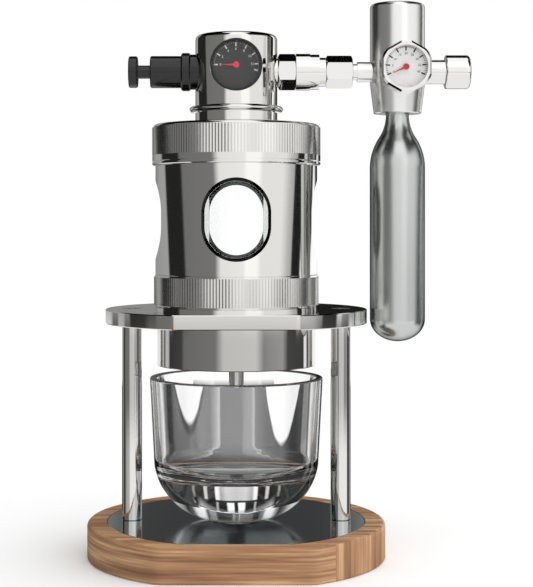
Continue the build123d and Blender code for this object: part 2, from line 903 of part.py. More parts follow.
with BuildPart() as relief_puller:
    with BuildSketch(relief_plane.offset(relief_end + relief_stem)):
        Circle(relief_knob_radius)
    extrude(amount=relief_knob)
    chamfer(relief_puller.edges().filter_by(GeomType.CIRCLE), relief_knob_edge)
    with BuildSketch(relief_plane.offset(gland_start)):
        Circle(relief_stem_radius)
    extrude(amount=relief_cap + relief_stem)
    with BuildSketch(relief_plane.offset(poppet_seat)):
        Circle(relief_rod_radius)
    extrude(amount=gland_start - poppet_seat)
    with BuildSketch(relief_plane.offset(poppet_seat)):
        Circle(relief_cavity_radius - running_gap)
    extrude(amount=relief_poppet)
save(relief_puller.part, "relief_knob")

relief_spring_start = poppet_seat + relief_poppet
relief_coil = (relief_rod_radius + relief_cavity_radius) / 2
coil_spring(
    "relief_spring",
    relief_plane.offset(relief_spring_start),
    relief_coil,
    gland_start - relief_spring_start,
)

# Gas inlet: hexagon adapter screwed into the head
with BuildPart() as inlet_adapter:
    with BuildSketch(port_plane.offset(inlet_hex_start)):
        RegularPolygon(inlet_hex_across / 2, 6, major_radius=False, rotation=90)
    extrude(amount=inlet_hex)
    with BuildSketch(Plane.XZ):
        add(hex_turning(inlet_hex_start, inlet_hex, inlet_hex_across))
    revolve(axis=port_axis, mode=Mode.INTERSECT)
    with BuildSketch(port_plane.offset(inlet_seat)):
        Circle(inlet_root_radius)
    extrude(amount=inlet_boss)
    with BuildSketch(port_plane.offset(inlet_seat - spigot_reach)):
        Circle(spigot_radius)
    extrude(amount=spigot_reach)
    with BuildSketch(port_plane.offset(inlet_seat - spigot_reach)):
        Circle(gas_bore)
    extrude(amount=sleeve_start - inlet_seat + spigot_reach, mode=Mode.SUBTRACT)
    with BuildSketch(port_plane.offset(sleeve_start)):
        Circle(sleeve_spigot_radius + fit_gap)
    extrude(amount=-sleeve_spigot, mode=Mode.SUBTRACT)
save(inlet_adapter.part, "inlet_adapter")

# Coupling sleeve: stepped turning with the cavity of a check valve
ball_seat = sleeve_start + ball_floor
cavity_radius = ball_radius + running_gap
with BuildPart() as coupling_sleeve:
    with BuildSketch(port_plane.offset(sleeve_start - sleeve_spigot)):
        Circle(sleeve_spigot_radius)
    extrude(amount=sleeve_spigot)
    for start, radius, length in (
        (sleeve_start, sleeve_radius, sleeve_length),
        (sleeve_step_start, sleeve_step_radius, sleeve_step),
        (sleeve_neck_start, sleeve_neck_radius, sleeve_neck),
    ):
        with BuildSketch(port_plane.offset(start)):
            Circle(radius)
        extrude(amount=length)
    with BuildSketch(port_plane.offset(sleeve_start - sleeve_spigot)):
        Circle(gas_bore)
    extrude(amount=sleeve_spigot + ball_floor, mode=Mode.SUBTRACT)
    with BuildSketch(port_plane.offset(ball_seat)):
        Circle(cavity_radius)
    extrude(amount=nut_start - ball_seat, mode=Mode.SUBTRACT)
save(coupling_sleeve.part, "coupling_sleeve")

ball_lift = sqrt(ball_radius ** 2 - gas_bore ** 2) + fit_gap
with BuildPart() as check_ball:
    with Locations((ball_seat + ball_lift, 0, port_height)):
        Sphere(ball_radius)
save(check_ball.part, "check_ball")

check_spring_start = ball_seat + ball_lift + ball_radius
check_spring_end = nut_start - nut_spigot
coil_spring(
    "check_spring",
    port_plane.offset(check_spring_start),
    cavity_radius - wire_radius - running_gap,
    check_spring_end - check_spring_start,
)

# Hexagon nut with the nipple that enters the regulator
with BuildPart() as gas_nut:
    with BuildSketch(port_plane.offset(nut_start)):
        RegularPolygon(nut_across / 2, 6, major_radius=False, rotation=90)
    extrude(amount=nut_length)
    with BuildSketch(Plane.XZ):
        add(hex_turning(nut_start, nut_length, nut_across))
    revolve(axis=port_axis, mode=Mode.INTERSECT)
    with BuildSketch(port_plane.offset(check_spring_end)):
        Circle(cavity_radius - fit_gap)
    extrude(amount=nut_spigot)
    with BuildSketch(port_plane.offset(nipple_start)):
        Circle(nipple_radius)
    extrude(amount=nipple_length)
    with BuildSketch(port_plane.offset(nipple_end)):
        Circle(nipple_spigot_radius)
    extrude(amount=regulator_port)
    with BuildSketch(port_plane.offset(check_spring_end)):
        Circle(gas_bore)
    extrude(amount=nipple_end + regulator_port - check_spring_end, mode=Mode.SUBTRACT)
save(gas_nut.part, "gas_nut")

# Regulator body: turned about the cartridge's axis, with ports for gas, gauge and bonnet
regulator_top = port_height + regulator_rise
regulator_cone_top = port_height - regulator_cone_start
regulator_bottom = port_height - regulator_drop
cartridge_top = regulator_bottom + cartridge_insert
washer_top = cartridge_top + washer_height
pin_bottom = cartridge_top - pin_reach
pin_top = pin_bottom + pin_length
regulator_side = regulator_x + regulator_radius
bonnet_start = regulator_side - bonnet_reach
spring_bore = bonnet_radius - bonnet_wall
piston_start = regulator_x
cartridge_bore = cartridge_neck_radius + running_gap
with BuildPart() as regulator_body:
    with BuildSketch(Plane.XZ):
        with BuildLine():
            outside = Polyline(
                (regulator_x, regulator_bottom),
                (regulator_x + regulator_foot_radius - plate_edge, regulator_bottom),
                (regulator_x + regulator_foot_radius, regulator_bottom + plate_edge),
                (regulator_side, regulator_cone_top),
                (regulator_side, regulator_top - regulator_edge),
            )
            crown_end = (regulator_side - regulator_edge, regulator_top)
            crown = RadiusArc(outside @ 1, crown_end, -regulator_edge)
            Polyline(crown @ 1, (regulator_x, regulator_top), outside @ 0)
        make_face()
    revolve(axis=regulator_axis)
    with BuildSketch(port_plane.offset(nipple_end)):
        Circle(regulator_port_radius)
    extrude(amount=regulator_port + regulator_radius)
    with BuildSketch(port_plane.offset(nipple_end)):
        Circle(nipple_spigot_radius + fit_gap)
    extrude(amount=regulator_port + joint_gap, mode=Mode.SUBTRACT)
    with BuildSketch(port_plane.offset(nipple_end)):
        Circle(gas_bore)
    extrude(amount=piston_start - nipple_end, mode=Mode.SUBTRACT)
    with BuildSketch(port_plane.offset(piston_start)):
        Circle(spring_bore)
    extrude(amount=regulator_radius, mode=Mode.SUBTRACT)
    with BuildSketch(port_plane.offset(bonnet_start)):
        Circle(bonnet_radius + fit_gap)
    extrude(amount=regulator_radius, mode=Mode.SUBTRACT)
    with BuildSketch(dial_gauge_plane):
        Circle(gauge_stem_radius + fit_gap)
    extrude(amount=regulator_radius, mode=Mode.SUBTRACT)
    with BuildSketch(Plane.XY.offset(regulator_bottom)):
        with Locations((regulator_x, 0)):
            Circle(cartridge_bore)
    extrude(amount=washer_top - regulator_bottom, mode=Mode.SUBTRACT)
    with BuildSketch(Plane.XY.offset(washer_top)):
        with Locations((regulator_x, 0)):
            Circle(pin_radius + fit_gap)
    extrude(amount=pin_top - washer_top, mode=Mode.SUBTRACT)
save(regulator_body.part, "regulator_body")

with BuildPart() as piercing_pin:
    with BuildSketch(Plane.XY.offset(pin_bottom + pin_tip)):
        with Locations((regulator_x, 0)):
            Circle(pin_radius)
    extrude(amount=pin_length - pin_tip)
    with Locations((regulator_x, 0, pin_bottom)):
        Cone(
            pin_point_radius,
            pin_radius,
            pin_tip,
            align=(Align.CENTER, Align.CENTER, Align.MIN),
        )
save(piercing_pin.part, "piercing_pin")

with BuildPart() as cartridge_washer:
    with BuildSketch(Plane.XY.offset(cartridge_top)):
        with Locations((regulator_x, 0)):
            Circle(cartridge_neck_radius)
            Circle(pin_radius + running_gap, mode=Mode.SUBTRACT)
    extrude(amount=washer_height)
save(cartridge_washer.part, "cartridge_washer")

# Bonnet, piston, spring and spring seat of the regulator
bonnet_floor = bonnet_end - bonnet_end_wall
adjuster_end = bonnet_floor - adjuster_reach
spring_seat_start = adjuster_end - seat_thickness
with BuildPart() as bonnet:
    with BuildSketch(port_plane.offset(bonnet_start)):
        Circle(bonnet_radius)
        Circle(spring_bore, mode=Mode.SUBTRACT)
    extrude(amount=bonnet_floor - bonnet_start)
    with BuildSketch(port_plane.offset(bonnet_floor)):
        Circle(bonnet_radius)
        Circle(adjuster_radius + fit_gap, mode=Mode.SUBTRACT)
    extrude(amount=bonnet_end_wall)
save(bonnet.part, "bonnet")

for label, start, length in (
    ("regulator_piston", piston_start, piston_length),
    ("spring_seat", spring_seat_start, seat_thickness),
):
    with BuildPart() as disc:
        with BuildSketch(port_plane.offset(start)):
            Circle(spring_bore - joint_gap)
        extrude(amount=length)
    save(disc.part, label)

coil_spring(
    "regulator_spring",
    port_plane.offset(piston_start + piston_length),
    spring_bore - wire_radius - running_gap,
    spring_seat_start - piston_start - piston_length,
)

# Adjusting knob on its screw
with BuildPart() as regulator_knob:
    with BuildSketch(port_plane.offset(knob_start)):
        Circle(knob_radius)
    extrude(amount=knob_length)
    fillet(regulator_knob.edges().sort_by(Axis.X)[-1], knob_edge)
    chamfer(regulator_knob.edges().sort_by(Axis.X)[0], plate_edge)
    with BuildSketch(port_plane.offset(adjuster_end)):
        Circle(adjuster_radius)
    extrude(amount=knob_start - adjuster_end)
save(regulator_knob.part, "regulator_knob")

# Regulator gauge: rounded hexagonal bezel with its points up and down
dial_gauge_back = regulator_radius + dial_gauge_standoff
dial_gauge_front = dial_gauge_back + dial_gauge_depth
dial_gauge_floor = dial_gauge_front - dial_recess - dial_thickness
with BuildPart() as dial_gauge_case:
    with BuildSketch(dial_gauge_plane.offset(dial_gauge_back)):
        RegularPolygon(dial_gauge_across / 2, 6, major_radius=False, rotation=90)
        Circle(dial_gauge_corner, mode=Mode.INTERSECT)
    extrude(amount=dial_gauge_depth)
    chamfer(dial_gauge_case.edges().group_by(Axis.Y)[0], dial_gauge_bevel)
    with BuildSketch(dial_gauge_plane.offset(dial_gauge_floor)):
        Circle(dial_gauge_bore)
    extrude(amount=dial_gauge_depth, mode=Mode.SUBTRACT)
    with BuildSketch(dial_gauge_plane.offset(dial_gauge_back - gauge_stem)):
        Circle(gauge_stem_radius)
    extrude(amount=gauge_stem)
    with BuildSketch(dial_gauge_plane.offset(dial_gauge_floor)):
        Circle(pivot_radius + fit_gap)
    extrude(amount=-pivot_reach - joint_gap, mode=Mode.SUBTRACT)
save(dial_gauge_case.part, "dial_gauge_case")
gauge_movement(
    "dial_gauge",
    dial_gauge_plane,
    dial_gauge_front,
    dial_gauge_bore,
    needle_length,
    red_needle_angle,
)


def cartridge_outline(inset, top):
    """Half outline of the cartridge: dome, straight wall, drawn-in shoulder and neck."""
    radius = cartridge_radius - inset
    dome = cartridge_dome - inset
    neck = cartridge_neck_radius if inset == 0 else cartridge_neck_bore
    shoulder_start = cartridge_top - cartridge_neck - cartridge_shoulder
    shoulder_end = cartridge_top - cartridge_neck
    wall_start = shoulder_start - cartridge_body
    dome_radius = (radius ** 2 + dome ** 2) / (2 * dome)
    middle = (regulator_x + (radius + neck) / 2, (shoulder_start + shoulder_end) / 2)
    with BuildSketch(Plane.XZ) as outline:
        with BuildLine():
            bottom = RadiusArc(
                (regulator_x, wall_start - dome),
                (regulator_x + radius, wall_start),
                -dome_radius,
            )
            wall = Line(bottom @ 1, (regulator_x + radius, shoulder_start))
            bulge = TangentArc(wall @ 1, middle, tangent=(0, 1))
            hollow = TangentArc(bulge @ 1, (regulator_x + neck, shoulder_end), tangent=bulge % 1)
            Polyline(hollow @ 1, (regulator_x + neck, top), (regulator_x, top), bottom @ 0)
        make_face()
    return outline.sketch


# Gas cartridge: drawn steel bottle, open at the pierced neck
with BuildPart() as cartridge:
    add(cartridge_outline(0, cartridge_top))
    revolve(axis=regulator_axis)
    add(cartridge_outline(cartridge_wall, cartridge_top))
    revolve(axis=regulator_axis, mode=Mode.SUBTRACT)
save(cartridge.part, "gas_cartridge")
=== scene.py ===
"""Looks of the manual espresso maker: finishes, printed dials, clear glass and a pale studio."""
import json
from math import atan2, cos, pi, radians, sin

import bmesh
import bpy
from mathutils import Matrix, Vector


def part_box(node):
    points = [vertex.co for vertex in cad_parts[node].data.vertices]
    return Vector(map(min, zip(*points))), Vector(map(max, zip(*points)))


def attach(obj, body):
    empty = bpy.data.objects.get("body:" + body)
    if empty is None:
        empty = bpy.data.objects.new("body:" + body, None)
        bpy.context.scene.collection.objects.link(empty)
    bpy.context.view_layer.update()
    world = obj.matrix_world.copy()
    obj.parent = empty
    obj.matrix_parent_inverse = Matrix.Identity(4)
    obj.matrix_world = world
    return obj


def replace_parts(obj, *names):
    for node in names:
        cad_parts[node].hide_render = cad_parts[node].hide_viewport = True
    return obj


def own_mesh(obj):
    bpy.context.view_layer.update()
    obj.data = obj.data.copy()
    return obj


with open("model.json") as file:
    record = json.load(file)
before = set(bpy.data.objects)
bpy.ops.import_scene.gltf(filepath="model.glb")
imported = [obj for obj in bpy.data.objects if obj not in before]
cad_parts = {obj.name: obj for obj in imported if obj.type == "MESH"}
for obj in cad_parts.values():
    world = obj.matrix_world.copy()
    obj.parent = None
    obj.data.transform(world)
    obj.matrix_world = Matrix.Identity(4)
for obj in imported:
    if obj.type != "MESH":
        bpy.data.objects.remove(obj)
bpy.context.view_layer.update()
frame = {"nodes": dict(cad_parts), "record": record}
nodes = frame["nodes"]
MM = 0.001

# Photograph, in pixels: its size, its horizon, the brew axis, the focal length and the base's foot
PHOTO_WIDTH = 533
PHOTO_HEIGHT = 587
HORIZON_ROW = 225
AXIS_COLUMN = 236.3
FOCAL_PIXELS = 1475
BASE_ROW = 553.9
# The length that a pixel spans at the brew axis, and the camera's sensor
MM_PER_PIXEL = 0.40
SENSOR_MM = 36

# Wood: the upright staves at the right end start here, in millimetres along X
STAVES_FROM = 36.6
STAVE_JOINT = 0.2
# The share of the fine grain in the wood's tone
FINE_GRAIN = 0.3
# The upward part of the wood's surface over which its sides become its top
WOOD_TOP = (0.75, 0.95)

# Knurled rings: how far buffing rounds the ribs' flanks, from 0 to 1, and the plain bands' roughness
RIB_ROUNDING = 0.66
BAND_ROUGHNESS = 0.07
# The upward part of their surface over which a bevel becomes an upright wall
RING_WALL = (0.3, 0.1)
# How far they face outwards, up to 1: ribs do so less than plain bands, and a steep flank isn't rounded
RIB_FACING = (0.99, 0.95)
FLANK_FACING = (0.3, 0.6)

# Barrel windows: their edges, which carry painted shade, face outwards less than the wall outside and more
# than the wall inside
OUTER_WALL = (0.92, 0.85)
INNER_WALL = (-0.75, -0.6)

# The limits of a share or a yes-or-no value
WHOLE = (0, 1)


def linear(hex_colour):
    """A linear RGBA colour from an sRGB hex value."""
    channels = [int(hex_colour[i:i + 2], 16) / 255 for i in (1, 3, 5)]
    return [c / 12.92 if c <= 0.04045 else ((c + 0.055) / 1.055) ** 2.4 for c in channels] + [1]


def add_node(tree, kind, inputs=None, stops=(), **settings):
    """The outputs of a new node with its settings, its inputs as values or links, and a ramp's stops."""
    node = tree.nodes.new(kind)
    for name, value in settings.items():
        setattr(node, name, value)
    for name, value in (inputs or {}).items():
        if isinstance(value, bpy.types.NodeSocket):
            tree.links.new(value, node.inputs[name])
        else:
            node.inputs[name].default_value = value
    if stops:
        elements = node.color_ramp.elements
        while len(elements) < len(stops):
            elements.new(0.5)
        for element, (position, colour) in zip(elements, stops):
            element.position = position
            element.color = colour
    return node.outputs


def where(tree, part, limits, inside, outside):
    """A value that passes from outside to inside while a pattern or a part goes through the limits."""
    share = add_node(
        tree,
        "ShaderNodeMapRange",
        {"Value": part, "From Min": limits[0], "From Max": limits[1]},
    )
    return add_node(tree, "ShaderNodeMix", {"Factor": share[0], "A": outside, "B": inside})[0]


def sized_place(tree, size_mm):
    """Object coordinates divided by real sizes in millimetres, one for each axis."""
    place = add_node(tree, "ShaderNodeTexCoord")["Object"]
    scale = [1 / (size * MM) for size in size_mm]
    return add_node(tree, "ShaderNodeMapping", {"Vector": place, "Scale": scale})[0]


def grain(tree, size_mm, detail=2.0, roughness=0.5):
    """A soft random pattern whose grain has real sizes in millimetres along each axis."""
    return add_node(
        tree,
        "ShaderNodeTexNoise",
        {"Vector": sized_place(tree, size_mm), "Scale": 1.0, "Detail": detail, "Roughness": roughness},
    )["Fac"]


def new_material(name, **surface):
    """A node material with its Principled surface's plain values set; gives that surface's inputs too."""
    material = bpy.data.materials.new(name)
    material.use_nodes = True
    tree = material.node_tree
    shader = tree.nodes["Principled BSDF"].inputs
    for socket, value in surface.items():
        shader[socket.replace("_", " ")].default_value = value
    return material, tree, shader


def metal(name, colour, roughness, lines_mm, line_depth=None, smudge=0.04, edge="#FFFFFF"):
    """A bare metal whose polishing lines and handling marks change its gloss, with a tint at its edges."""
    material, tree, shader = new_material(
        name,
        Base_Color=linear(colour),
        Metallic=1.0,
        Specular_Tint=linear(edge),
    )
    # Real polishing lines are finer; they are drawn this coarse so that they show
    lines = grain(tree, lines_mm, 3.0, 0.6)
    marks = grain(tree, (22, 22, 22), 4.0, 0.55)
    wear = add_node(tree, "ShaderNodeMath", {0: lines, 1: marks}, operation="MULTIPLY")[0]
    gloss = where(tree, wear, WHOLE, roughness + 2 * smudge, roughness - smudge)
    tree.links.new(gloss, shader["Roughness"])
    if line_depth:
        depth = {"Height": lines, "Strength": 0.25, "Distance": line_depth * MM}
        tree.links.new(add_node(tree, "ShaderNodeBump", depth)[0], shader["Normal"])
    return material


def polished_stainless():
    """Stainless steel, turned and buffed to a mirror: hard reflections, faint turning lines."""
    return metal("polished_stainless_steel", "#E6E5E2", 0.05, (30, 30, 0.5), smudge=0.015)


def away_from_axis(tree):
    """The level direction away from the brew axis, the surface's own, and how far they agree, up to 1."""
    place = add_node(tree, "ShaderNodeTexCoord")
    surface = place["Normal"]
    level = add_node(
        tree,
        "ShaderNodeVectorMath",
        {0: place["Object"], 1: (1, 1, 0)},
        operation="MULTIPLY",
    )
    outwards = add_node(tree, "ShaderNodeVectorMath", {0: level[0]}, operation="NORMALIZE")[0]
    facing = add_node(tree, "ShaderNodeVectorMath", {0: outwards, 1: surface}, operation="DOT_PRODUCT")
    return outwards, surface, facing["Value"]


def knurled_stainless():
    """Stainless steel, knurled after polishing: mirror bands, and ribs that shine more softly."""
    material, tree, shader = new_material(
        "knurled_stainless_steel",
        Base_Color=linear("#E4E3E0"),
        Metallic=1.0,
    )
    outwards, surface, facing = away_from_axis(tree)
    slope = add_node(tree, "ShaderNodeSeparateXYZ", {0: surface})["Z"]
    slant = add_node(tree, "ShaderNodeMath", {0: slope}, operation="ABSOLUTE")[0]
    wall = where(tree, slant, RING_WALL, 1.0, 0.0)
    ribs = where(tree, facing, RIB_FACING, wall, 0.0)
    soft = where(tree, grain(tree, (22, 22, 0.5), 3.0, 0.6), WHOLE, 0.22, 0.15)
    tree.links.new(where(tree, ribs, WHOLE, soft, BAND_ROUGHNESS), shader["Roughness"])

    # Buffing rounds the ribs' flanks, so they shine nearly as the plain wall would.
    # A Mix node's vectors are its inputs 4 and 5, and its vector result is output 1
    flanks = where(tree, facing, FLANK_FACING, RIB_ROUNDING, 0.0)
    rounding = where(tree, wall, WHOLE, flanks, 0.0)
    rounded = add_node(
        tree,
        "ShaderNodeMix",
        {0: rounding, 4: surface, 5: outwards},
        data_type="VECTOR",
    )
    turned = add_node(
        tree,
        "ShaderNodeVectorTransform",
        {"Vector": rounded[1]},
        vector_type="NORMAL",
        convert_from="OBJECT",
        convert_to="WORLD",
    )
    tree.links.new(turned[0], shader["Normal"])
    return material


def windowed_stainless():
    """Mirror-polished stainless steel with painted shade on the window edges: a dark rim round each window.
    """
    material, tree, shader = new_material("windowed_stainless_steel", Metallic=1.0)
    facing = away_from_axis(tree)[2]
    # Painted shade: the surfaces that turn from the wall into a window get a dark grey colour, which draws
    # a dark rim round each window
    edges = where(tree, facing, OUTER_WALL, where(tree, facing, INNER_WALL, 1.0, 0.0), 0.0)
    tones = [(0, linear("#E6E5E2")), (1, linear("#242424"))]
    tree.links.new(add_node(tree, "ShaderNodeValToRGB", {"Fac": edges}, tones)[0], shader["Base Color"])
    polish = where(tree, grain(tree, (30, 30, 0.5), 3.0, 0.6), WHOLE, 0.08, 0.04)
    tree.links.new(polish, shader["Roughness"])
    return material


def satin_stainless():
    """Stainless steel, finely ground along its length: wide soft highlights."""
    return metal("satin_stainless_steel", "#DEDEDC", 0.27, (0.35, 0.35, 40), 0.003)


def bright_satin():
    """Stainless steel, polished lightly over a fine grind: a wide white highlight between grey flanks."""
    return metal("bright_satin_stainless_steel", "#F2F2F0", 0.24, (0.35, 0.35, 40), 0.003)


def zinc_plated_shell():
    """Drawn steel shell with zinc plating: cool grey, soft reflections along its length, and painted shade
    at its edges.
    """
    # Painted shade: the dark edge tint darkens the reflections where the shell turns away, so its sides
    # look dark
    return metal("zinc_plated_drawn_steel", "#CFD2D0", 0.26, (0.4, 0.4, 30), 0.003, edge="#303030")


def brushed_plate():
    """Stainless plate, polished over fine brush marks: a cool mirror that draws highlights out."""
    return metal("brushed_stainless_plate", "#B4BABC", 0.13, (60, 0.4, 8), 0.003, 0.03)


def nickel_plate():
    """Bright nickel plating on brass fittings: almost white, with hard edges."""
    return metal("bright_nickel_plating", "#EDECEA", 0.09, (12, 12, 12), 0.002, 0.02)


def spring_wire():
    """Drawn spring wire: grey, with draw marks."""
    return metal("drawn_spring_wire", "#9A9A9C", 0.3, (1, 1, 1), 0.002)


def turned_brass():
    """Turned brass: warm yellow with fine tool lines."""
    return metal("turned_brass", "#C9A45A", 0.28, (0.3, 8, 8), 0.003)


def black_anodised():
    """Aluminium, bead-blasted and anodised black: deep, with soft narrow highlights."""
    material, tree, shader = new_material(
        "black_anodised_aluminium",
        Base_Color=linear("#0A0A0B"),
        IOR=1.52,
    )
    # Blasting grit is finer; it is drawn this coarse so that it shows
    grit = grain(tree, (0.5, 0.5, 0.5))
    tree.links.new(where(tree, grit, WHOLE, 0.22, 0.14), shader["Roughness"])
    depth = {"Height": grit, "Strength": 0.05, "Distance": 0.005 * MM}
    tree.links.new(add_node(tree, "ShaderNodeBump", depth)[0], shader["Normal"])
    return material


def moulded_black():
    """Black moulded plastic: even, slightly glossy, with a fine spark-eroded grain."""
    material, tree, shader = new_material("black_moulded_plastic", Base_Color=linear("#141415"), IOR=1.5)
    # The grain of such a mould is finer; it is drawn this coarse so that it shows
    cells = add_node(
        tree,
        "ShaderNodeTexVoronoi",
        {"Vector": sized_place(tree, (0.4, 0.4, 0.4)), "Scale": 1.0},
    )["Distance"]
    tree.links.new(where(tree, cells, WHOLE, 0.4, 0.25), shader["Roughness"])
    depth = {"Height": cells, "Strength": 0.15, "Distance": 0.01 * MM}
    tree.links.new(add_node(tree, "ShaderNodeBump", depth)[0], shader["Normal"])
    return material


def printed_sheet(name, colour, second, roughness):
    """A painted dial sheet: flat colour with the slight mottle of screen print."""
    material, tree, shader = new_material(name, Roughness=roughness, IOR=1.5)
    mottle = grain(tree, (1.2, 1.2, 1.2), 4.0)
    tones = [(0.3, linear(colour)), (0.7, linear(second))]
    tree.links.new(add_node(tree, "ShaderNodeValToRGB", {"Fac": mottle}, tones)[0], shader["Base Color"])
    return material


def red_paint(name, colour, second):
    """Red stove enamel on a pressed pointer: even, bright and glossy."""
    return printed_sheet(name, colour, second, 0.3)


def seal_rubber():
    """Black silicone rubber, moulded: dull with a faint dusty bloom."""
    material, tree, shader = new_material("black_silicone_rubber", IOR=1.45)
    bloom = grain(tree, (3, 3, 3), 4.0)
    tones = [(0.3, linear("#1A1A1A")), (0.8, linear("#2A2A2A"))]
    tree.links.new(add_node(tree, "ShaderNodeValToRGB", {"Fac": bloom}, tones)[0], shader["Base Color"])
    tree.links.new(where(tree, bloom, WHOLE, 0.75, 0.55), shader["Roughness"])
    return material


def wood_layers(tree, broad_mm, fine_mm, detail=4.0, roughness=0.55):
    """Soft broad layers of wood with a share of fine grain; sizes in millimetres along each axis."""
    broad = grain(tree, broad_mm, detail, roughness)
    fine = grain(tree, fine_mm)
    return add_node(tree, "ShaderNodeMix", {"Factor": FINE_GRAIN, "A": broad, "B": fine})[0]


def oiled_walnut():
    """Oiled walnut: soft layers level round the sides, along the top, and upright in the end staves."""
    material, tree, shader = new_material("oiled_walnut", IOR=1.45)
    place = add_node(tree, "ShaderNodeTexCoord")
    upward = add_node(tree, "ShaderNodeSeparateXYZ", {0: place["Normal"]})["Z"]
    along = add_node(tree, "ShaderNodeSeparateXYZ", {0: place["Object"]})["X"]
    level = wood_layers(tree, (75, 75, 3.4), (30, 30, 0.8))
    lengthways = wood_layers(tree, (75, 4.5, 75), (30, 0.8, 30))
    upright = wood_layers(tree, (4.5, 60, 90), (0.9, 30, 40), 3.0, 0.5)
    joint = (STAVES_FROM * MM, (STAVES_FROM + STAVE_JOINT) * MM)
    sides = where(tree, along, joint, upright, level)
    tone = where(tree, upward, WOOD_TOP, lengthways, sides)
    tones = [
        (0.3, linear("#6A4630")),
        (0.42, linear("#976C4B")),
        (0.53, linear("#B48862")),
        (0.65, linear("#DDB58A")),
    ]
    tree.links.new(add_node(tree, "ShaderNodeValToRGB", {"Fac": tone}, tones)[0], shader["Base Color"])
    tree.links.new(where(tree, tone, WHOLE, 0.42, 0.6), shader["Roughness"])
    depth = {"Height": tone, "Strength": 0.2, "Distance": 0.08 * MM}
    tree.links.new(add_node(tree, "ShaderNodeBump", depth)[0], shader["Normal"])
    return material


def clear_glass(name, ior, colour):
    """Clear glass, fire-polished: bright edges and dark lines where it bends the light."""
    material, tree, shader = new_material(
        name,
        Base_Color=linear(colour),
        Transmission_Weight=1.0,
        IOR=ior,
    )
    waves = grain(tree, (9, 9, 16), 1.0)
    tree.links.new(where(tree, waves, WHOLE, 0.015, 0.0), shader["Roughness"])
    depth = {"Height": waves, "Strength": 0.15, "Distance": 0.05 * MM}
    tree.links.new(add_node(tree, "ShaderNodeBump", depth)[0], shader["Normal"])
    return material


def gauge_window():
    """A thin flat gauge window, seen only by its faint shine; the dial behind stays bright."""
    material, tree, shader = new_material(
        "flat_gauge_window",
        Base_Color=linear("#8E8E8C"),
        Alpha=0.05,
        IOR=1.5,
    )
    tree.links.new(where(tree, grain(tree, (4, 4, 4)), WHOLE, 0.06, 0.02), shader["Roughness"])
    return material


finishes = {
    "walnut": oiled_walnut(),
    "inlay_steel": brushed_plate(),
    "polished_steel": polished_stainless(),
    "satin_steel": satin_stainless(),
    "bright_plating": nickel_plate(),
    "spring_steel": spring_wire(),
    "clear_glass": clear_glass("pressed_soda_glass", 1.51, "#FDFDFD"),
    "clear_tube": clear_glass("drawn_borosilicate_tube", 1.47, "#FDFEFE"),
    "lens": gauge_window(),
    "seal_rubber": seal_rubber(),
    "black_anodised": black_anodised(),
    "gauge_black": moulded_black(),
    "dial_grey": printed_sheet("dark_grey_dial_paint", "#323234", "#38383A", 0.5),
    "dial_white": printed_sheet("white_dial_paint", "#FAFAF8", "#FFFFFF", 0.45),
    "needle_red": red_paint("red_pointer_enamel", "#E6304A", "#F04256"),
    "brass_seat": turned_brass(),
}
for row in frame["record"]["subparts"]:
    slots = nodes[row["node"]].data.materials
    slots.clear()
    slots.append(finishes[row["material_slot"]])
ribbed = knurled_stainless()
for name, finish in {
    "clamp_ring": ribbed,
    "knurled_cap": ribbed,
    "barrel_sleeve": windowed_stainless(),
    "regulator_body": bright_satin(),
    "dial_gauge_needle": red_paint("deep_red_pointer_enamel", "#C4102A", "#CE1A34"),
}.items():
    nodes[name].data.materials[0] = finish

white_ink = printed_sheet("white_dial_ink", "#E8E8E6", "#F4F4F2", 0.55)
black_ink = printed_sheet("black_dial_ink", "#0C0C0C", "#161616", 0.6)
red_ink = printed_sheet("red_dial_ink", "#C98480", "#D08C88", 0.55)

# Dials: printed marks stand this far proud of the dial sheets
INK = 0.04 * MM
# Scales: the first mark's angle and the step to the next, in degrees anticlockwise from the right
BREW_MARKS = 7
BREW_FIRST = 180
BREW_STEP = -29.6
BREW_END = -15
BREW_FINE_MARKS = 34
LINE_MARKS = 9
LINE_FIRST = 203
LINE_STEP = -28.1
FINE_STEPS = 5
# The red arc is a row of short marks that touch
ARC_MARKS = 60
ARC_FIRST = 118.7
ARC_STEP = -1.0

# Points nearer to each other than this, in metres, are merged
MERGE = 1e-7


